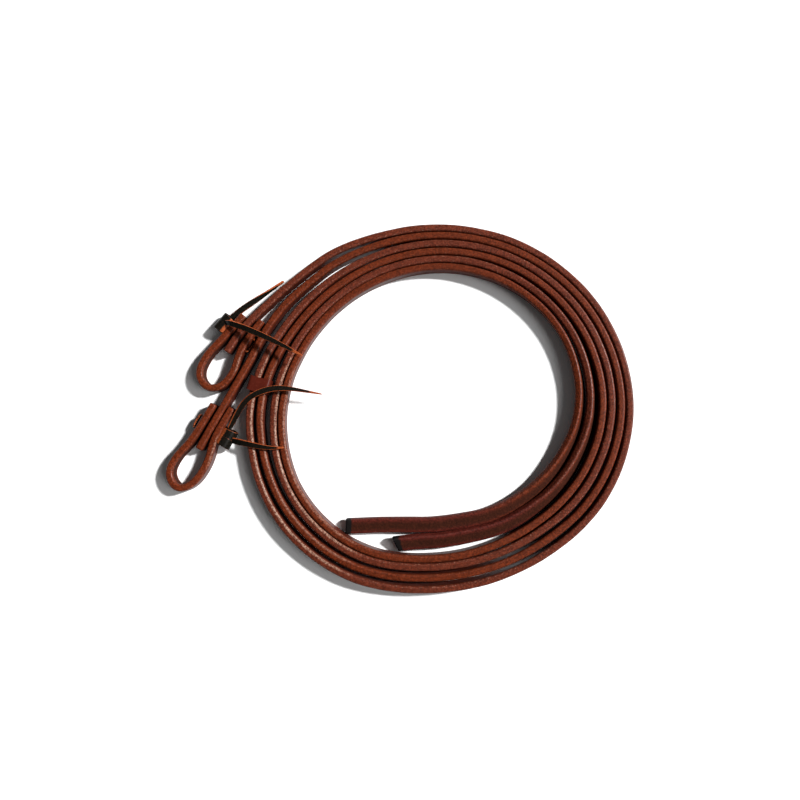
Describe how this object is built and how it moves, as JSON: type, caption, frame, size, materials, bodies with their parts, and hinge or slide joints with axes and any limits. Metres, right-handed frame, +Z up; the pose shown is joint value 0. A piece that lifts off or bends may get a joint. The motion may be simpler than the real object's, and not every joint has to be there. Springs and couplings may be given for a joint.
{
  "type": "coiled split reins",
  "caption": "Pair of long leather split reins coiled on edge, each tied by a lace to a folded water loop that holds the bit ring, with a sliding keeper band round two straps.",
  "frame": {"origin": "centre of the box round the whole coil, on the surface that the straps' edges stand on", "axes": "+Z up along the straps' width, +X from the water loops across the coil, +Y towards the coil's far side"},
  "size_m": [0.3856, 0.3054, 0.0291],
  "materials": {
    "rein_leather": "oiled harness leather, smooth grain side, brushed flesh side, raw edges",
    "loop_leather": "oiled harness leather with raw edges",
    "lace_leather": "black latigo lace, glossy grain with orange-brown cut edges",
    "keeper_leather": "thin smooth dark red-brown leather, semi-gloss",
    "thread": "waxed dark thread"
  },
  "bodies": {
    "reins": {"left_rein": "rein_leather", "right_rein": "rein_leather", "left_water_loop": "loop_leather", "right_water_loop": "loop_leather", "left_tie_lace": "lace_leather", "right_tie_lace": "lace_leather"},
    "keeper": {"keeper_band": "keeper_leather", "keeper_stitching": "thread"}
  },
  "joints": [
    {"name": "keeper_slide", "type": "hinge", "parent": "reins", "child": "keeper", "pos_m": [-0.01178, -0.01439, 0], "axis": [0, 0, 1], "range_deg": [-5, 3]}
  ]
}
